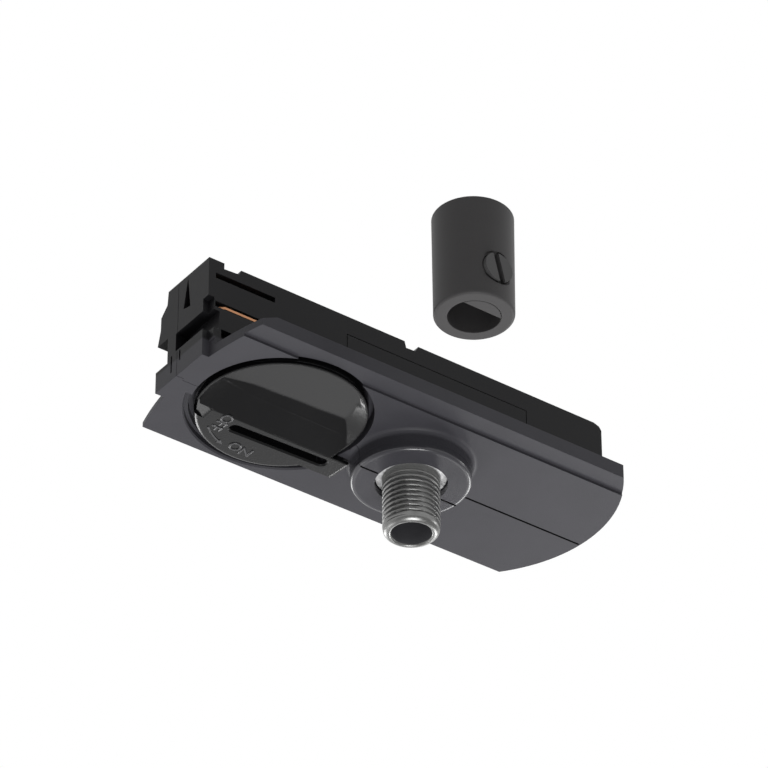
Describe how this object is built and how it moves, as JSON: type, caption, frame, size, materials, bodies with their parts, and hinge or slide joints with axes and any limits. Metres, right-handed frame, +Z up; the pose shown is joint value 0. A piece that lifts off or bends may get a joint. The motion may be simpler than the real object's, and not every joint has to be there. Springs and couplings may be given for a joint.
{
  "type": "track light adapter",
  "caption": "Track light adapter: flat plate with a scooped turn knob, a collar with a threaded nipple, a contact head that enters the track, and a separate cord grip sleeve.",
  "frame": {"origin": "on the nipple axis, in the plane of the plate's lower face", "axes": "+Z up into the track, with the nipple pointing down; +X along the plate, from the knob end to the rounded end; -Y towards the side cover and the loose cord grip"},
  "size_m": [0.0865, 0.0656, 0.0341],
  "materials": {
    "black_plastic": "satin, fine texture",
    "black_screw": "black satin",
    "zinc_steel": "bright zinc plating",
    "cast_zinc": "plain die casting",
    "copper": "plain stamped copper alloy",
    "brass": "plain",
    "cream_plastic": "satin"
  },
  "bodies": {
    "adapter": {"housing_near": "black_plastic", "housing_far": "black_plastic", "terminal_cover": "black_plastic", "housing_screws": "zinc_steel", "nipple": "zinc_steel", "support_strap": "zinc_steel", "earth_contact": "brass", "terminal_block": "cream_plastic", "terminal_clamps": "brass", "terminal_screws": "zinc_steel", "live_busbar": "copper", "neutral_busbar": "copper", "contact_rivets": "brass", "detent_spring": "zinc_steel", "grip_body": "black_plastic"},
    "knob": {"knob": "black_plastic", "locking_wing": "cast_zinc", "contact_cam": "cream_plastic", "rotor_pin": "zinc_steel"},
    "live_lever": {"live_lever": "copper"},
    "neutral_lever": {"neutral_lever": "copper"},
    "grip_jaw": {"grip_jaw": "black_plastic"},
    "grip_screw": {"grip_screw": "black_screw"}
  },
  "joints": [
    {"name": "knob_turn", "type": "hinge", "parent": "adapter", "child": "knob", "pos_m": [-0.027, 0.0005, 0], "axis": [0, 0, 1], "range_deg": [0, 90]},
    {"name": "live_lever_swing", "type": "hinge", "parent": "adapter", "child": "live_lever", "pos_m": [-0.019, -0.0035, 0.0103], "axis": [0, 0, 1], "range_deg": [0, 4.1]},
    {"name": "neutral_lever_swing", "type": "hinge", "parent": "adapter", "child": "neutral_lever", "pos_m": [-0.019, -0.0035, 0.0162], "axis": [0, 0, 1], "range_deg": [0, 4.1]},
    {"name": "jaw_slide", "type": "slide", "parent": "adapter", "child": "grip_jaw", "axis": [0, 1, 0], "range_m": [0, 0.0021]},
    {"name": "grip_screw_turn", "type": "hinge", "parent": "grip_jaw", "child": "grip_screw", "pos_m": [-0.0172, -0.0468, 0.0058], "axis": [0, 1, 0], "range_deg": [0, 1082]}
  ],
  "couplings": [
    {"joint": "live_lever_swing", "follows": "knob_turn", "ratio": 0.044444},
    {"joint": "neutral_lever_swing", "follows": "knob_turn", "ratio": 0.044444},
    {"joint": "grip_screw_turn", "follows": "jaw_slide", "rad_per_m": 8976}
  ]
}
